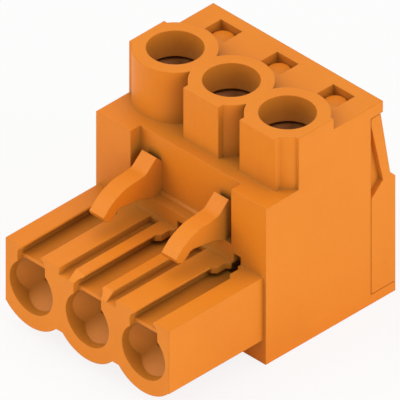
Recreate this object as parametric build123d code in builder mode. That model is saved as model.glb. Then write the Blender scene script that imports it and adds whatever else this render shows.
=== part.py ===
from build123d import *
import os

# Pluggable terminal block: wire entries at the back, screws on top, pin sockets at the front.
# Millimetres. X runs along the row of poles, -Y is the mating side, +Z is up, it stands on z = 0.

# Poles
pitch = 5.08
pole_count = 3
pole_xs = [(number - (pole_count - 1) / 2) * pitch for number in range(pole_count)]

# Body of the housing
end_margin = 2.59
body_half = pole_xs[-1] + end_margin
mate_length = 8.46
body_length = 11.72
wall_y = (mate_length - body_length) / 2
mate_y = wall_y - mate_length
rear_y = wall_y + body_length
step_z = 12.2
slab_z = 15.38
top_z = 16.2
slab_setback = 1.12
slab_thickness = 0.86
cover_depth = 2.22
lip_z = 0.72
seam_gap = 0.06

# Turret round each screw
screw_from_wall = 4.57
collar_r = 2.8
pad_half = 1.58
pad_reach = 2.77
access_r = 1.885

# Latch windows behind the screws, and the studs of the cover that stand in them
window_half = 0.97
window_past_seam = 0.18
stud_r = 0.76
stud_from_seam = 0.64
stud_below_slab = 0.52
tongue_half = 1.1
tongue_thickness = 0.76
tongue_clearance = 0.1

# Recess in the front wall, with its sloped foot
recess_half = 4.55
recess_depth = 0.9
recess_z = 7.9
recess_foot = 0.16

# Mating block: a bar with a barrel round each pin socket
mate_margin = 2.31
mate_top_z = 6.7
web_z = 1.8
pin_z = 3.86
barrel_r = 3.05
mouth_r = 1.95
mouth_depth = 0.6
pin_hole_half = 0.65
pin_wall = 0.3

# Channel over each barrel: near the wall its mouth narrows to a neck and then to a slit in the wall
channel_half = 1.24
channel_floor_z = 5.85
channel_side_height = 0.1
channel_mouth_half = 0.84
channel_skin = 0.28
channel_open_depth = 0.45
lip_r = 0.1
neck_z = 6.19
neck_half = 0.55
neck_length = 1.5
neck_end = 0.47
slit_half = 0.32
slit_top_z = 7.29
gap_front = 0.13

# Coding slots beside the middle pole, and the sloped fronts of the ribs next to them
slot_half = 0.425
slot_from_pole = 2.145
slot_depth = 0.53
slot_stop = 0.2
lead_in = 0.66

# Latch arms: reach is taken from the front wall, rise from the top of the mating block
arm_from_middle = 3.27
arm_half = 0.655
arm_reach = 4.37
arm_tip_rise = 1.8
arm_tip_slope = 0.65
arm_tip_face = 0.3
arm_tip_tuck = 0.12
arm_back_r = 4.6
arm_crown_reach = 2.2
arm_crown_rise = 3.14
arm_heel_reach = 0.8
arm_heel_rise = 3.27
arm_heel_bend = 0.45
arm_heel_lift = 0.19
arm_root_thickness = 0.49
arm_root_rise = 4.17
arm_thickness = 1.0
arm_barb_reach = 3.74
arm_barb_rise = 1.25
arm_barb_length = 0.69
arm_barb_height = 0.6

# Screw chamber
chamber_half = 2.15
chamber_floor_z = 1.7
chamber_shoulder_z = 12.1
chamber_top_z = 14.2

# Clamp screw
screw_r = 1.25
head_r = 2.0
head_height = 1.15
head_clearance = 0.1
driver_slot_width = 0.6
driver_slot_depth = 0.6
tip_clearance = 0.05
tip_chamfer = 0.3

# Clamping yoke
yoke_half_x = 1.95
yoke_half_y = 1.2
yoke_wall = 0.7
yoke_floor = 0.8
yoke_opening = 4.8
yoke_head = 1.5
yoke_corner = 0.3
thread_clearance = 0.04
floor_clearance = 0.1

# Contact: a bar under the screw, a riser, and a plate with two spring leaves that grip the pin
bar_z = 5.6
bar_thickness = 0.8
bar_end = 0.4
riser_from_wall = 1.2
plate_thickness = 0.4
leaf_thickness = 0.3
leaf_height = 1.9
leaf_x = 0.9
pinch_x = 0.62
pinch_from_end = 1.1
leaf_end_clearance = 0.15
contact_clearance = 0.15

# Wire entry
wire_z = 4.1
wire_r = 1.45
wire_mouth_r = 1.95
wire_mouth_depth = 0.8

# Rear cover
cover_top_depth = 0.9
cover_knee_z = 9.5
cover_knee_depth = 1.75
cover_shelf_z = 9.0
cover_hollow_half = 1.9
cover_hollow_bottom_z = 6.6
cover_hollow_top_z = 13.0
cover_wall = 0.8
side_window_depth = 0.42
side_window_top_z = 13.85
side_window_low_z = 9.2
side_window_foot_z = 8.2
side_window_reach = 1.1

# Worked out from the sizes above
slab_rear_y = rear_y - slab_setback
seam_y = rear_y - cover_depth
screw_y = wall_y + screw_from_wall
window_rear_y = seam_y + window_past_seam
stud_y = seam_y - stud_from_seam
mate_half = pole_xs[-1] + mate_margin
channel_lip_z = channel_floor_z + channel_side_height
lip_x = channel_mouth_half + lip_r
entry_top = channel_floor_z - channel_skin - pin_z
pole_points = [(x, screw_y) for x in pole_xs]
pin_points = [(x, pin_z) for x in pole_xs]
funnel_depth = mouth_r - pin_hole_half
funnel_y = mate_y + mouth_depth
pin_wall_y = funnel_y + funnel_depth
socket_y = pin_wall_y + pin_wall
chamber_front_y = screw_y - chamber_half
recess_y = wall_y + recess_depth
slot_floor_z = mate_top_z - slot_depth
slab_bottom_z = slab_z - slab_thickness
head_top_z = chamber_top_z - head_clearance
head_bottom_z = head_top_z - head_height
screw_tip_z = bar_z + bar_thickness + tip_clearance
yoke_bottom_z = chamber_floor_z + floor_clearance
yoke_height = yoke_floor + yoke_opening + yoke_head
leaf_top_z = pin_z + leaf_height / 2
leaf_bottom_z = pin_z - leaf_height / 2
plate_top_z = leaf_top_z + plate_thickness
leaf_end_y = socket_y + leaf_end_clearance
riser_y = wall_y + riser_from_wall
bar_rear_y = seam_y - bar_end
plate_half = leaf_x + leaf_thickness / 2
socket_half = plate_half + contact_clearance
socket_bottom_z = leaf_bottom_z - contact_clearance
socket_top_z = plate_top_z + contact_clearance
passage_top_z = bar_z + bar_thickness + contact_clearance
passage_front_y = riser_y - contact_clearance
cover_front_y = seam_y + seam_gap
cover_top_z = slab_bottom_z - seam_gap
cover_bottom_z = lip_z + seam_gap
stud_z = slab_z - stud_below_slab
tongue_bottom_z = cover_top_z - tongue_thickness
tongue_front_y = stud_y - stud_r
notch_half = tongue_half + tongue_clearance
notch_front_y = tongue_front_y - tongue_clearance
window_front_y = notch_front_y

os.makedirs("parts", exist_ok=True)


def cut_box(low, high):
    """Cut a box, given by its two corners, out of the part being built."""
    size = [top - bottom for bottom, top in zip(low, high)]
    middle = [(top + bottom) / 2 for bottom, top in zip(low, high)]
    with Locations(tuple(middle)):
        Box(*size, mode=Mode.SUBTRACT)


# Pin entry: a round mouth, flat under the channel, then a square funnel and the pin hole
with BuildPart() as pin_entry:
    with BuildSketch(Plane.XZ.offset(-mate_y)):
        Rectangle(2 * mouth_r, 2 * mouth_r)
    extrude(amount=-mouth_depth)
    with BuildSketch(Plane.XZ.offset(-funnel_y)):
        Rectangle(2 * mouth_r, 2 * mouth_r)
    with BuildSketch(Plane.XZ.offset(-pin_wall_y)):
        Rectangle(2 * pin_hole_half, 2 * pin_hole_half)
    loft()
    with BuildSketch(Plane.XZ.offset(-mate_y)):
        Circle(mouth_r)
        with Locations((0, (entry_top - mouth_r) / 2)):
            Rectangle(2 * mouth_r, entry_top + mouth_r, mode=Mode.INTERSECT)
    extrude(amount=-(mouth_depth + funnel_depth), mode=Mode.INTERSECT)
    with BuildSketch(Plane.XZ.offset(-pin_wall_y)):
        Rectangle(2 * pin_hole_half, 2 * pin_hole_half)
    extrude(amount=-pin_wall)


# Channel over a barrel, with round-nosed lips that curve inwards and a mouth that narrows near the wall
with BuildPart() as channel:
    with BuildSketch(Plane.XZ.offset(-wall_y)):
        with BuildLine():
            Line((0, channel_floor_z), (channel_half, channel_floor_z))
            side = Line((channel_half, channel_floor_z), (channel_half, channel_lip_z))
            TangentArc(side @ 1, (lip_x, mate_top_z - 2 * lip_r), tangent=side % 1)
            ThreePointArc(
                (lip_x, mate_top_z - 2 * lip_r),
                (channel_mouth_half, mate_top_z - lip_r),
                (lip_x, mate_top_z),
            )
            Line((lip_x, mate_top_z), (0, mate_top_z))
            mirror(about=Plane.YZ)
        make_face()
    extrude(amount=mate_length)
    with BuildSketch(Plane.XY.offset(neck_z)):
        with BuildLine():
            Polyline(
                (channel_half, wall_y - neck_length),
                (channel_mouth_half, wall_y - neck_length),
                (neck_half, wall_y - neck_length + channel_mouth_half - neck_half),
                (neck_half, wall_y - neck_end),
                (slit_half, wall_y - neck_end + neck_half - slit_half),
                (slit_half, wall_y),
                (channel_half, wall_y),
                close=True,
            )
        make_face()
        mirror(about=Plane.YZ)
    extrude(amount=mate_top_z - neck_z, mode=Mode.SUBTRACT)


# Latch arm: an S-shaped finger with a blunt tip and a barb below it, drawn from the side
arm_plane = Plane((0, wall_y, mate_top_z), x_dir=(0, 1, 0), z_dir=(1, 0, 0))
with BuildPart() as latch_arm:
    with BuildSketch(arm_plane):
        with BuildLine():
            tip = Line((-arm_reach, arm_tip_rise), (arm_tip_slope - arm_reach, arm_tip_rise + arm_tip_slope))
            RadiusArc(tip @ 1, (-arm_crown_reach, arm_crown_rise), arm_back_r)
            back = Line((-arm_crown_reach, arm_crown_rise), (-arm_heel_reach, arm_heel_rise))
            heel = TangentArc(
                back @ 1,
                (arm_heel_bend - arm_heel_reach, arm_heel_rise + arm_heel_lift),
                tangent=back % 1,
            )
            Polyline(
                heel @ 1,
                (recess_depth - arm_root_thickness, arm_root_rise),
                (recess_depth, arm_root_rise - arm_root_thickness),
                (recess_depth, arm_heel_rise - arm_thickness),
                (-arm_heel_reach, arm_heel_rise - arm_thickness),
                (arm_barb_length - arm_barb_reach, arm_barb_rise + arm_barb_height),
                (-arm_barb_reach, arm_barb_rise),
                (arm_tip_tuck - arm_reach, arm_tip_rise - arm_tip_face),
                (-arm_reach, arm_tip_rise),
            )
        make_face()
    extrude(amount=arm_half, both=True)


# Housing
with BuildPart() as housing:
    # Body, drawn from the side
    with BuildSketch(Plane.YZ):
        with BuildLine():
            Polyline(
                (wall_y, 0),
                (wall_y, step_z),
                (screw_y, step_z),
                (screw_y, slab_z),
                (slab_rear_y, slab_z),
                (slab_rear_y, slab_bottom_z),
                (seam_y, slab_bottom_z),
                (seam_y, lip_z),
                (rear_y, lip_z),
                (rear_y, 0),
                close=True,
            )
        make_face()
    extrude(amount=body_half, both=True)

    # Turret: a collar round each screw, with flat pads in front of two and at both ends
    with BuildSketch(Plane.XY.offset(step_z)):
        with Locations(*pole_points):
            Circle(collar_r)
        with Locations(*[(x, screw_y - pad_reach / 2) for x in pole_xs[1:]]):
            Rectangle(2 * pad_half, pad_reach)
        with Locations((pole_xs[0] - end_margin / 2, screw_y), (pole_xs[-1] + end_margin / 2, screw_y)):
            Rectangle(end_margin, 2 * pad_half)
        with Locations((0, screw_y)):
            Rectangle(2 * body_half, 4 * collar_r, mode=Mode.INTERSECT)
    extrude(amount=top_z - step_z)

    # Mating block with its barrels
    with BuildSketch(Plane.XZ.offset(-wall_y)):
        with Locations((0, (web_z + mate_top_z) / 2)):
            Rectangle(2 * mate_half, mate_top_z - web_z)
        with Locations(*pin_points):
            Circle(barrel_r)
        with Locations((0, mate_top_z / 2)):
            Rectangle(2 * mate_half, mate_top_z, mode=Mode.INTERSECT)
    extrude(amount=mate_length)

    # Recess in the front wall
    with BuildSketch(Plane.YZ):
        with BuildLine():
            Polyline(
                (mate_y, recess_z),
                (recess_y - recess_foot, recess_z),
                (recess_y, recess_z + recess_foot),
                (recess_y, top_z),
                (mate_y, top_z),
                close=True,
            )
        make_face()
    extrude(amount=recess_half, both=True, mode=Mode.SUBTRACT)

    # Latch arms
    with Locations((-arm_from_middle, 0, 0), (arm_from_middle, 0, 0)):
        add(latch_arm.part)

    # Screw access holes
    with BuildSketch(Plane.XY.offset(top_z)):
        with Locations(*pole_points):
            Circle(access_r)
    extrude(amount=chamber_top_z - top_z, mode=Mode.SUBTRACT)

    # Pockets for the screw heads, open to the back
    with BuildSketch(Plane.XY.offset(chamber_shoulder_z)):
        with Locations(*pole_points):
            Circle(chamber_half)
        with Locations(*[(x, (screw_y + rear_y) / 2) for x in pole_xs]):
            Rectangle(2 * chamber_half, rear_y - screw_y)
    extrude(amount=chamber_top_z - chamber_shoulder_z, mode=Mode.SUBTRACT)

    for x in pole_xs:
        # Clamp chamber, and the notch and window above it for the cover's latch
        cut_box(
            (x - chamber_half, chamber_front_y, chamber_floor_z),
            (x + chamber_half, rear_y, chamber_shoulder_z),
        )
        cut_box((x - notch_half, notch_front_y, chamber_top_z), (x + notch_half, seam_y, slab_bottom_z))
        cut_box((x - window_half, window_front_y, slab_bottom_z), (x + window_half, window_rear_y, slab_z))
        # Room for the contact, from the socket through the wall to the clamp
        cut_box(
            (x - socket_half, socket_y, socket_bottom_z),
            (x + socket_half, chamber_front_y, socket_top_z),
        )
        cut_box(
            (x - socket_half, passage_front_y, socket_bottom_z),
            (x + socket_half, chamber_front_y, passage_top_z),
        )
        # The channel opens into the round mouth in front, and into the contact's room behind
        cut_box(
            (x - channel_half, mate_y, pin_z),
            (x + channel_half, mate_y + channel_open_depth, channel_lip_z),
        )
        cut_box((x - slit_half, wall_y, channel_floor_z), (x + slit_half, passage_front_y, slit_top_z))
        cut_box((x - socket_half, wall_y - gap_front, pin_z), (x + socket_half, chamber_front_y, passage_top_z))

    with Locations(*[(x, 0, pin_z) for x in pole_xs]):
        add(pin_entry.part, mode=Mode.SUBTRACT)

    # Channels
    with Locations(*[(x, 0, 0) for x in pole_xs]):
        add(channel.part, mode=Mode.SUBTRACT)

    # Coding slots, and the sloped fronts of the ribs between them and the middle channel
    for slot_x in (-slot_from_pole, slot_from_pole):
        cut_box(
            (slot_x - slot_half, mate_y, slot_floor_z),
            (slot_x + slot_half, wall_y - slot_stop, mate_top_z),
        )
    with BuildSketch(Plane.YZ):
        with BuildLine():
            Polyline(
                (mate_y, slot_floor_z),
                (mate_y + lead_in, mate_top_z),
                (mate_y, mate_top_z),
                close=True,
            )
        make_face()
    extrude(amount=slot_from_pole - slot_half, both=True, mode=Mode.SUBTRACT)

housing.part.label = "housing"
export_step(housing.part, "parts/housing.step")


# Rear cover, drawn from the side, with wire entries, latch studs and side windows
with BuildPart() as wire_entry:
    with BuildSketch(Plane.XY):
        with BuildLine():
            Polyline(
                (0, cover_front_y),
                (wire_r, cover_front_y),
                (wire_r, rear_y - wire_mouth_depth),
                (wire_mouth_r, rear_y),
                (0, rear_y),
                close=True,
            )
        make_face()
    revolve(axis=Axis.Y)

with BuildPart() as rear_cover:
    with BuildSketch(Plane.YZ):
        with BuildLine():
            Polyline(
                (cover_front_y, cover_bottom_z),
                (rear_y, cover_bottom_z),
                (rear_y, cover_shelf_z),
                (seam_y + cover_knee_depth, cover_knee_z),
                (seam_y + cover_top_depth, cover_top_z),
                (cover_front_y, cover_top_z),
                close=True,
            )
        make_face()
    extrude(amount=body_half, both=True)

    # Latch tongues with a round stud in each window of the slab
    for x in pole_xs:
        tongue_length = cover_front_y - tongue_front_y
        with Locations((x, tongue_front_y + tongue_length / 2, tongue_bottom_z + tongue_thickness / 2)):
            Box(2 * tongue_half, tongue_length, tongue_thickness)
    with BuildSketch(Plane.XY.offset(tongue_bottom_z)):
        with Locations(*[(x, stud_y) for x in pole_xs]):
            Circle(stud_r)
    extrude(amount=stud_z - tongue_bottom_z)

    # Hollows behind the outer wall, over the wire entries
    with BuildSketch(Plane.YZ.offset(pole_xs[0] - cover_hollow_half)):
        with BuildLine():
            Polyline(
                (cover_front_y, cover_hollow_bottom_z),
                (seam_y + cover_knee_depth - cover_wall, cover_hollow_bottom_z),
                (seam_y + cover_knee_depth - cover_wall, cover_knee_z),
                (seam_y + cover_top_depth - cover_wall + seam_gap, cover_hollow_top_z),
                (cover_front_y, cover_hollow_top_z),
                close=True,
            )
        make_face()
    hollow = extrude(amount=2 * cover_hollow_half, mode=Mode.PRIVATE)
    with Locations(*[(x - pole_xs[0], 0, 0) for x in pole_xs]):
        add(hollow, mode=Mode.SUBTRACT)

    # Wire entries
    with Locations(*[(x, 0, wire_z) for x in pole_xs]):
        add(wire_entry.part, mode=Mode.SUBTRACT)

    # Triangular side windows that open at the seam
    for side_plane in (Plane.YZ.offset(body_half - side_window_depth), Plane.YZ.offset(-body_half)):
        with BuildSketch(side_plane):
            with BuildLine():
                Polyline(
                    (cover_front_y, side_window_top_z),
                    (seam_y + side_window_reach, side_window_low_z),
                    (cover_front_y, side_window_foot_z),
                    close=True,
                )
            make_face()
        extrude(amount=side_window_depth, mode=Mode.SUBTRACT)

rear_cover.part.label = "rear_cover"
export_step(rear_cover.part, "parts/rear_cover.step")


for number, x in enumerate(pole_xs, start=1):
    # Clamp screw: slotted cheese head, plain shank where the thread runs, chamfered tip
    with BuildPart() as screw:
        with BuildSketch(Plane.XY.offset(screw_tip_z)):
            with Locations((x, screw_y)):
                Circle(screw_r)
        extrude(amount=head_bottom_z - screw_tip_z)
        chamfer(screw.edges().sort_by(Axis.Z)[0], tip_chamfer)
        with BuildSketch(Plane.XY.offset(head_bottom_z)):
            with Locations((x, screw_y)):
                Circle(head_r)
        extrude(amount=head_height)
        with BuildSketch(Plane.XY.offset(head_top_z)):
            with Locations((x, screw_y)):
                Rectangle(2 * head_r, driver_slot_width)
        extrude(amount=-driver_slot_depth, mode=Mode.SUBTRACT)
    screw.part.label = f"clamp_screw_{number}"
    export_step(screw.part, f"parts/clamp_screw_{number}.step")

    # Clamping yoke: a sleeve that the screw draws up towards the bar
    with BuildPart() as yoke:
        with BuildSketch(Plane.XY.offset(yoke_bottom_z)):
            with Locations((x, screw_y)):
                RectangleRounded(2 * yoke_half_x, 2 * yoke_half_y, yoke_corner)
        extrude(amount=yoke_height)
        with BuildSketch(Plane.XY.offset(yoke_bottom_z + yoke_floor)):
            with Locations((x, screw_y)):
                Rectangle(2 * (yoke_half_x - yoke_wall), 2 * yoke_half_y)
        extrude(amount=yoke_opening, mode=Mode.SUBTRACT)
        with BuildSketch(Plane.XY.offset(yoke_bottom_z + yoke_height)):
            with Locations((x, screw_y)):
                Circle(screw_r + thread_clearance)
        extrude(amount=-yoke_head, mode=Mode.SUBTRACT)
    yoke.part.label = f"clamp_yoke_{number}"
    export_step(yoke.part, f"parts/clamp_yoke_{number}.step")

    # Contact: bar, riser and plate are one folded strip; the leaves hang from the plate
    with BuildPart() as contact:
        with BuildSketch(Plane.YZ.offset(x)):
            with BuildLine():
                Polyline(
                    (bar_rear_y, bar_z),
                    (bar_rear_y, bar_z + bar_thickness),
                    (riser_y, bar_z + bar_thickness),
                    (riser_y, plate_top_z),
                    (leaf_end_y + pinch_from_end, plate_top_z),
                    (leaf_end_y + pinch_from_end, leaf_top_z),
                    (riser_y + bar_thickness, leaf_top_z),
                    (riser_y + bar_thickness, bar_z),
                    close=True,
                )
            make_face()
        extrude(amount=plate_half, both=True)
        for side in (-1, 1):
            with BuildSketch(Plane.XY.offset(leaf_bottom_z)):
                with BuildLine() as leaf_line:
                    Polyline(
                        (x + side * leaf_x, wall_y),
                        (x + side * leaf_x, leaf_end_y + 3 * pinch_from_end),
                        (x + side * pinch_x, leaf_end_y + pinch_from_end),
                        (x + side * leaf_x, leaf_end_y),
                    )
                    offset(amount=leaf_thickness / 2, side=Side.BOTH, kind=Kind.INTERSECTION)
                make_face()
            extrude(amount=leaf_height)
    contact.part.label = f"contact_{number}"
    export_step(contact.part, f"parts/contact_{number}.step")
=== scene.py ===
import math

import bmesh
import bpy
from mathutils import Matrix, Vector


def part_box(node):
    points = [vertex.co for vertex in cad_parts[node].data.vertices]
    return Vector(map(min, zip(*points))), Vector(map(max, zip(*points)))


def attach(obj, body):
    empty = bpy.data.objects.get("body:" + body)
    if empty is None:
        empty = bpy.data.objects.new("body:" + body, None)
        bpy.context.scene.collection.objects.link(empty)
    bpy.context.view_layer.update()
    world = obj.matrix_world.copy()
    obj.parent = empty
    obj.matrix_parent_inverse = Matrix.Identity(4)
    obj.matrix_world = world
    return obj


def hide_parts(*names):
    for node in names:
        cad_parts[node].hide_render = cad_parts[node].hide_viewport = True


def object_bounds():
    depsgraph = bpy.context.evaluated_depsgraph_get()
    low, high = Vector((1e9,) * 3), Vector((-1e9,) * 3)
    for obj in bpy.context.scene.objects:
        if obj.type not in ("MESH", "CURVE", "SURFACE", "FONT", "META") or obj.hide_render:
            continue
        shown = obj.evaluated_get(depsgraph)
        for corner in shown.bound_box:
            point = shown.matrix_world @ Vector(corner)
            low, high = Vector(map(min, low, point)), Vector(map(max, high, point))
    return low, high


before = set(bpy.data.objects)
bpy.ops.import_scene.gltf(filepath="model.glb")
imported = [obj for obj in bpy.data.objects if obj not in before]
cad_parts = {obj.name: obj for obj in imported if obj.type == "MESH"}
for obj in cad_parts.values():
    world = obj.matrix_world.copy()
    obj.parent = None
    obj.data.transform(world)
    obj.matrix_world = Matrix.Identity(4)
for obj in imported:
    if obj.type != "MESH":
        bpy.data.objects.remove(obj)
cad_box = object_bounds()

# Blender's own unit is the metre
MM = 0.001

# The photograph is an isometric view, 400 pixels wide, with equal scales along all three axes
PHOTO_WIDTH_PX = 400
PX_PER_MM = 15.64
VIEW_AZIMUTH = math.radians(45)
VIEW_ELEVATION = math.asin(1 / math.sqrt(3))
VIEW_TARGET_OFFSET = Vector((0, 0.097, 0.12)) * MM

# Where the camera stands and how near and far it sees, in metres
CAMERA_DISTANCE = 0.3
CAMERA_NEAR = 0.01
CAMERA_FAR = 10.0

# Lamps and floor, in metres and watts, and the strength of the light from all round
LAMP_DISTANCE = 0.5
LAMP_SIZE = 0.4
FRONT_LEFT_POWER = 0.86
RIGHT_POWER = 0.92
TOP_POWER = 0.36
WORLD_STRENGTH = 0.55
FLOOR_SIZE = 4.0

# Colours as they are seen in plain light, linear; the plastic's colours for holes and cracks and the zinc's
# colour for slots are painted shade, not the materials' own
ORANGE = (0.880, 0.262, 0.014)
DEEP_ORANGE = (0.845, 0.240, 0.011)
SHADED_ORANGE = (0.480, 0.200, 0.026)
CRACK_SHADE_ORANGE = (0.150, 0.062, 0.010)
ZINC = (0.560, 0.545, 0.510)
DULL_ZINC = (0.400, 0.385, 0.350)
SHADED_ZINC = (0.150, 0.135, 0.110)
TIN = (0.760, 0.745, 0.710)
DULL_TIN = (0.560, 0.545, 0.520)
FLOOR_WHITE = (0.930, 0.930, 0.925)
PLAIN_WHITE = (1, 1, 1, 1)

# How far the floor shows the camera plain white instead of its lit colour, and its cloudy tone
FLOOR_GLOW = 0.85
FLOOR_CLOUD_SIZE = 40.0
FLOOR_CLOUD_TONE = 0.99

# Plastic, in millimetres: flow marks, speckle, eroded grain, and the rounding of a moulded edge
FLOW_MARK_SIZE = 5.0
SPECKLE_SIZE = 0.35
GRAIN_SIZE = 0.06
GRAIN_DEPTH = 0.004
MOULDED_EDGE_R = 0.09

# Metals, in millimetres, apart from the turning marks to a millimetre
TURNING_MARKS = 18.0
TURNING_MARK_DEPTH = 0.003
ZINC_CLOUD_SIZE = 0.8
STREAK_SIZE = 0.12
STREAK_STRETCH = (1, 0.06, 1)
STREAK_DEPTH = 0.003
TIN_CLOUD_SIZE = 0.9

# How far a surface looks for its own walls, in millimetres, for the painted shade that darkens it in holes,
# cracks and slots
HOLE_REACH = 4.0
CRACK_REACH = 0.8
SLOT_REACH = 0.9

# Latch arms of the housing, in millimetres
ARM_FROM_MIDDLE = 3.27
ARM_HALF = 0.655
FRONT_WALL_Y = -1.63
MATING_TOP_Z = 6.7

# Swelling under each arm, as reach from the front wall and rise from the top of the mating block. The
# first eight points are its arched underside, down to the ledge of the recess. The others lie inside
# the housing.
ARM_ROOT_PROFILE = [
    (-2.95, 1.95),
    (-2.70, 1.89),
    (-2.28, 1.83),
    (-1.70, 1.74),
    (-1.15, 1.66),
    (-0.70, 1.54),
    (-0.30, 1.34),
    (0.00, 1.20),
    (0.10, 1.10),
    (1.10, 1.10),
    (1.10, 2.50),
    (-0.85, 2.50),
]

# A facet belongs to a curved surface where it turns by this much from a neighbour and is this small,
# in square millimetres
LEAST_TURN = math.radians(1)
MOST_TURN = math.radians(30)
LARGEST_FACET = 1.5
MERGE_DISTANCE = 1e-5 * MM

# Sockets of the Mix node that carry colours
MIX_FIRST_COLOUR = 6
MIX_SECOND_COLOUR = 7
MIX_COLOUR_RESULT = 2


def centre_of(node):
    """Middle of a node's box at rest."""
    low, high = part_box(node)
    return (Vector(low) + Vector(high)) / 2


class Value:
    """A link in a shader, with the arithmetic that a pattern needs."""

    def __init__(self, shader, source):
        self.shader = shader
        self.source = source

    def math(self, operation, *others):
        values = dict(enumerate((self, *others)))
        return self.shader.node("ShaderNodeMath", {"operation": operation}, values)

    def __add__(self, other):
        return self.math("ADD", other)

    def __radd__(self, other):
        return self.math("ADD", other)

    def __mul__(self, other):
        return self.math("MULTIPLY", other)

    def __rmul__(self, other):
        return self.math("MULTIPLY", other)


class Shader:
    """The nodes of a material or of the world, built one by one."""

    def __init__(self, owner):
        self.owner = owner
        self.owner.use_nodes = True
        self.tree = self.owner.node_tree
        self.tree.nodes.clear()

    def node(self, kind, settings=None, values=None, output=0):
        """A node with its settings and its values or links. The result is one of its outputs."""
        made = self.tree.nodes.new(kind)
        for key, setting in (settings or {}).items():
            setattr(made, key, setting)
        for key, value in (values or {}).items():
            if isinstance(value, Value):
                self.tree.links.new(value.source, made.inputs[key])
            else:
                made.inputs[key].default_value = value
        return Value(self, made.outputs[output]) if made.outputs else None

    def place(self, centre=(0, 0, 0), stretch=(1, 1, 1)):
        """Object coordinates in millimetres from a centre, stretched."""
        raw = self.node("ShaderNodeTexCoord", output="Object")
        moved = self.node("ShaderNodeVectorMath", {"operation": "SUBTRACT"}, {0: raw, 1: tuple(centre)})
        scale = tuple(factor / MM for factor in stretch)
        return self.node("ShaderNodeMapping", {"vector_type": "POINT"}, {"Vector": moved, "Scale": scale})

    def parts(self, vector):
        """The x, y and z of a vector."""
        split = self.node("ShaderNodeSeparateXYZ", values={"Vector": vector})
        return [Value(self, output) for output in split.source.node.outputs]

    def noise(self, vector, size, detail=2.0, roughness=0.5):
        """Noise from 0 to 1 whose blotches are about size millimetres across."""
        values = {"Vector": vector, "Scale": 1 / size, "Detail": detail, "Roughness": roughness}
        return self.node("ShaderNodeTexNoise", values=values)

    def mix(self, factor, first, second):
        """Colour between two colours."""
        values = {
            "Factor": factor,
            MIX_FIRST_COLOUR: self.colour(first),
            MIX_SECOND_COLOUR: self.colour(second),
        }
        return self.node("ShaderNodeMix", {"data_type": "RGBA"}, values, output=MIX_COLOUR_RESULT)

    def colour(self, value):
        """A link as it is, or a written colour with its alpha."""
        return value if isinstance(value, Value) else (*value, 1.0)

    def ramp(self, value, low, high):
        """Smooth step of a value from 0 to 1 between two limits."""
        values = {"Value": value, "From Min": low, "From Max": high}
        return self.node("ShaderNodeMapRange", {"interpolation_type": "SMOOTHSTEP"}, values)

    def bump(self, height, depth, strength, normal=None):
        """Relief of that depth in millimetres."""
        values = {"Height": height, "Distance": depth * MM, "Strength": strength}
        if normal is not None:
            values["Normal"] = normal
        return self.node("ShaderNodeBump", values=values)

    def rounded(self, radius):
        """Normals that turn smoothly over a sharp edge, as if it had that radius in millimetres."""
        return self.node("ShaderNodeBevel", {"samples": 8}, {"Radius": radius * MM})

    def openness(self, reach):
        """1 where the piece's own surface lies open, 0 deep in a hole of about that reach in millimetres."""
        settings = {"samples": 8, "only_local": True}
        return self.node("ShaderNodeAmbientOcclusion", settings, {"Distance": reach * MM}, output="AO")

    def finish(self, **values):
        """The surface with these values, and the material that has it."""
        surface = self.node("ShaderNodeBsdfPrincipled", values=values)
        self.node("ShaderNodeOutputMaterial", values={"Surface": surface})
        return self.owner


def new_material(name):
    """Shader of a new material."""
    return Shader(bpy.data.materials.new(name))


def moulded_plastic():
    """Matt orange plastic with a fine eroded grain, a faint change of tone from the flow in the mould, and
    painted shade in holes, recesses and cracks.
    """
    shader = new_material("moulded_plastic")
    place = shader.place()
    flow_marks = shader.noise(place, FLOW_MARK_SIZE, detail=3.0)
    grain = shader.noise(place, GRAIN_SIZE, roughness=0.6)
    speckle = shader.noise(place, SPECKLE_SIZE, detail=3.0)
    deep = shader.ramp(flow_marks * 0.8 + speckle * 0.2, low=0.35, high=0.75)
    # Painted shade: the colour darkens deep in holes and recesses, and thinly in cracks, where shade falls
    clear_of_hole_shade = shader.ramp(shader.openness(HOLE_REACH), low=0.20, high=1.0)
    clear_of_crack_shade = shader.ramp(shader.openness(CRACK_REACH), low=0.05, high=0.5)
    open_colour = shader.mix(deep, ORANGE, DEEP_ORANGE)
    shaded_colour = shader.mix(clear_of_hole_shade, SHADED_ORANGE, open_colour)
    return shader.finish(
        **{
            "Base Color": shader.mix(clear_of_crack_shade, CRACK_SHADE_ORANGE, shaded_colour),
            "Roughness": 0.42 + speckle * 0.12,
            "Specular IOR Level": 0.25,
            "Normal": shader.bump(grain, GRAIN_DEPTH, strength=0.5, normal=shader.rounded(MOULDED_EDGE_R)),
        }
    )


def plated_steel(node):
    """Zinc plate with turning marks round the piece's own upright axis, and painted shade in slots and
    corners.
    """
    shader = new_material("plated_steel_" + node)
    place = shader.place(centre=centre_of(node))
    x, y = shader.parts(place)[:2]
    radius = (x * x + y * y).math("SQRT")
    marks = {"W": radius, "Scale": TURNING_MARKS, "Detail": 2.0}
    rings = shader.node("ShaderNodeTexNoise", {"noise_dimensions": "1D"}, marks)
    cloud = shader.noise(place, ZINC_CLOUD_SIZE, detail=4.0)
    dull = shader.ramp(cloud * 0.7 + rings * 0.3, low=0.4, high=0.65)
    # Painted shade: the zinc darkens in its slot and corners, where shade falls
    clear_of_slot_shade = shader.ramp(shader.openness(SLOT_REACH), low=0.25, high=0.9)
    return shader.finish(
        **{
            "Base Color": shader.mix(clear_of_slot_shade, SHADED_ZINC, shader.mix(dull, ZINC, DULL_ZINC)),
            "Metallic": 1.0,
            "Roughness": 0.17 + rings * 0.14,
            "Normal": shader.bump(rings, TURNING_MARK_DEPTH, strength=0.3),
        }
    )


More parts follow.
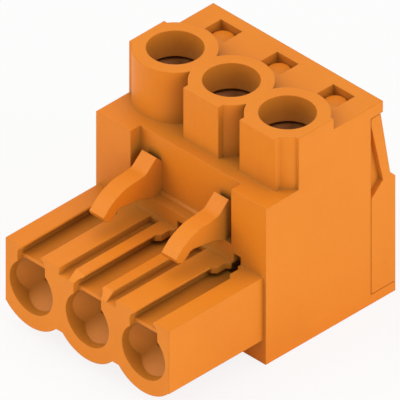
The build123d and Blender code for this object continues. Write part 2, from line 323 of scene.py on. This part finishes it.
def tinned_copper():
    """Tin plate on rolled strip, with streaks along the strip and duller patches."""
    shader = new_material("tinned_copper")
    streaks = shader.noise(shader.place(stretch=STREAK_STRETCH), STREAK_SIZE, detail=3.0)
    cloud = shader.noise(shader.place(), TIN_CLOUD_SIZE, detail=4.0)
    dull = shader.ramp(cloud * 0.6 + streaks * 0.4, low=0.4, high=0.65)
    return shader.finish(
        **{
            "Base Color": shader.mix(dull, TIN, DULL_TIN),
            "Metallic": 1.0,
            "Roughness": 0.22 + streaks * 0.2,
            "Normal": shader.bump(streaks, STREAK_DEPTH, strength=0.4),
        }
    )


def dress(node, material):
    """Give a CAD node its material in every slot."""
    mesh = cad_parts[node].data
    if not mesh.materials:
        mesh.materials.append(material)
    for index in range(len(mesh.materials)):
        mesh.materials[index] = material


def dress_nodes(plastic):
    """Zinc on the screws and yokes, tin on the contacts and plastic on the rest."""
    tin = tinned_copper()
    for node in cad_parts:
        if node.startswith(("clamp_screw", "clamp_yoke")):
            dress(node, plated_steel(node))
        elif node.startswith("contact"):
            dress(node, tin)
        else:
            dress(node, plastic)


def linked_object(name, shape):
    """Object at the origin for the mesh that a bmesh holds."""
    mesh = bpy.data.meshes.new(name)
    shape.to_mesh(mesh)
    shape.free()
    made = bpy.data.objects.new(name, mesh)
    bpy.context.collection.objects.link(made)
    return made


def make_arm_roots():
    """The swellings under both latch arms, each as a closed block."""
    shape = bmesh.new()
    for middle in (-ARM_FROM_MIDDLE, ARM_FROM_MIDDLE):
        left, right = (
            [
                shape.verts.new(Vector((middle + side, FRONT_WALL_Y + reach, MATING_TOP_Z + rise)) * MM)
                for reach, rise in ARM_ROOT_PROFILE
            ]
            for side in (-ARM_HALF, ARM_HALF)
        )
        shape.faces.new(left)
        shape.faces.new(right)
        for index in range(len(left)):
            shape.faces.new((left[index - 1], left[index], right[index], right[index - 1]))
    bmesh.ops.recalc_face_normals(shape, faces=shape.faces)
    return linked_object("arm_roots", shape)


def smooth_curved_facets(mesh):
    """Shade the small facets of curved surfaces smooth, and the rest flat."""
    shape = bmesh.new()
    shape.from_mesh(mesh)
    for edge in shape.edges:
        edge.smooth = edge.calc_face_angle(math.pi) < MOST_TURN
    for face in shape.faces:
        turns = [edge.calc_face_angle(math.pi) for edge in face.edges]
        curved = any(LEAST_TURN < turn < MOST_TURN for turn in turns)
        face.smooth = curved and face.calc_area() < LARGEST_FACET * MM * MM
    shape.to_mesh(mesh)
    shape.free()


def make_housing(plastic):
    """The CAD housing with the swellings joined to its latch arms, so that no seam shows between them."""
    shape = bmesh.new()
    shape.from_mesh(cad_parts["housing"].data)
    bmesh.ops.remove_doubles(shape, verts=shape.verts, dist=MERGE_DISTANCE)
    housing = linked_object("moulded_housing", shape)
    roots = make_arm_roots()
    union = housing.modifiers.new("roots", "BOOLEAN")
    union.operation = "UNION"
    union.solver = "EXACT"
    union.object = roots
    evaluated = housing.evaluated_get(bpy.context.evaluated_depsgraph_get())
    joined = bpy.data.meshes.new_from_object(evaluated)
    housing.modifiers.remove(union)
    bpy.data.objects.remove(roots)
    housing.data = joined
    smooth_curved_facets(joined)
    joined.materials.clear()
    joined.materials.append(plastic)
    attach(housing, "housing")
    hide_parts("housing")


def make_world():
    """Even white light from all round, and a plain white background for the eye and for reflections."""
    world = bpy.data.worlds.new("studio")
    bpy.context.scene.world = world
    shader = Shader(world)
    camera_ray = shader.node("ShaderNodeLightPath", output="Is Camera Ray")
    glossy_ray = shader.node("ShaderNodeLightPath", output="Is Glossy Ray")
    through_ray = shader.node("ShaderNodeLightPath", output="Is Transmission Ray")
    light = shader.node("ShaderNodeBackground", values={"Color": PLAIN_WHITE, "Strength": WORLD_STRENGTH})
    backdrop = shader.node("ShaderNodeBackground", values={"Color": PLAIN_WHITE, "Strength": 1.0})
    seen = camera_ray.math("MAXIMUM", glossy_ray).math("MAXIMUM", through_ray)
    choice = shader.node("ShaderNodeMixShader", values={0: seen, 1: light, 2: backdrop})
    shader.node("ShaderNodeOutputWorld", values={"Surface": choice})


def make_lamp(name, direction, power):
    """Square soft lamp that looks at the object from a direction."""
    data = bpy.data.lights.new(name, "AREA")
    data.size = LAMP_SIZE
    data.energy = power
    lamp = bpy.data.objects.new(name, data)
    bpy.context.collection.objects.link(lamp)
    towards = Vector(direction).normalized()
    lamp.location = towards * LAMP_DISTANCE
    lamp.rotation_euler = towards.to_track_quat("Z", "Y").to_euler()


def pale_floor():
    """Faintly cloudy white paper, which the camera sees mostly as plain white."""
    shader = new_material("pale_floor")
    cloud = shader.noise(shader.place(), FLOOR_CLOUD_SIZE)
    near_white = tuple(FLOOR_CLOUD_TONE * channel for channel in FLOOR_WHITE)
    paper_values = {
        "Base Color": shader.mix(cloud, FLOOR_WHITE, near_white),
        "Roughness": 0.9,
        "Specular IOR Level": 0.0,
    }
    paper = shader.node("ShaderNodeBsdfPrincipled", values=paper_values)
    glow = shader.node("ShaderNodeEmission", values={"Color": PLAIN_WHITE, "Strength": 1.0})
    camera_ray = shader.node("ShaderNodeLightPath", output="Is Camera Ray")
    surface = shader.node("ShaderNodeMixShader", values={0: camera_ray * FLOOR_GLOW, 1: paper, 2: glow})
    shader.node("ShaderNodeOutputMaterial", values={"Surface": surface})
    return shader.owner


def make_floor():
    """Pale floor under the object."""
    mesh = bpy.data.meshes.new("floor")
    half = FLOOR_SIZE / 2
    corners = [(-half, -half, 0), (half, -half, 0), (half, half, 0), (-half, half, 0)]
    mesh.from_pydata(corners, [], [(0, 1, 2, 3)])
    mesh.materials.append(pale_floor())
    floor = bpy.data.objects.new("floor", mesh)
    bpy.context.collection.objects.link(floor)


def make_camera():
    """Parallel projection from the photograph's direction and at its scale."""
    data = bpy.data.cameras.new("camera")
    data.type = "ORTHO"
    data.ortho_scale = PHOTO_WIDTH_PX / PX_PER_MM * MM
    data.clip_start = CAMERA_NEAR
    data.clip_end = CAMERA_FAR
    camera = bpy.data.objects.new("camera", data)
    bpy.context.collection.objects.link(camera)
    low, high = cad_box
    target = (Vector(low) + Vector(high)) / 2 + VIEW_TARGET_OFFSET
    back = Vector(
        (
            math.sin(VIEW_AZIMUTH) * math.cos(VIEW_ELEVATION),
            -math.cos(VIEW_AZIMUTH) * math.cos(VIEW_ELEVATION),
            math.sin(VIEW_ELEVATION),
        )
    )
    camera.location = target + back * CAMERA_DISTANCE
    camera.rotation_euler = back.to_track_quat("Z", "Y").to_euler()
    bpy.context.scene.camera = camera


plastic = moulded_plastic()
dress_nodes(plastic)
make_housing(plastic)
make_floor()
make_world()
make_lamp("front_left_lamp", direction=(-1, -1, 1), power=FRONT_LEFT_POWER)
make_lamp("right_lamp", direction=(1, 0, 0.4), power=RIGHT_POWER)
make_lamp("top_lamp", direction=(0, 0, 1), power=TOP_POWER)
make_camera()
bpy.context.scene.view_settings.view_transform = "Standard"
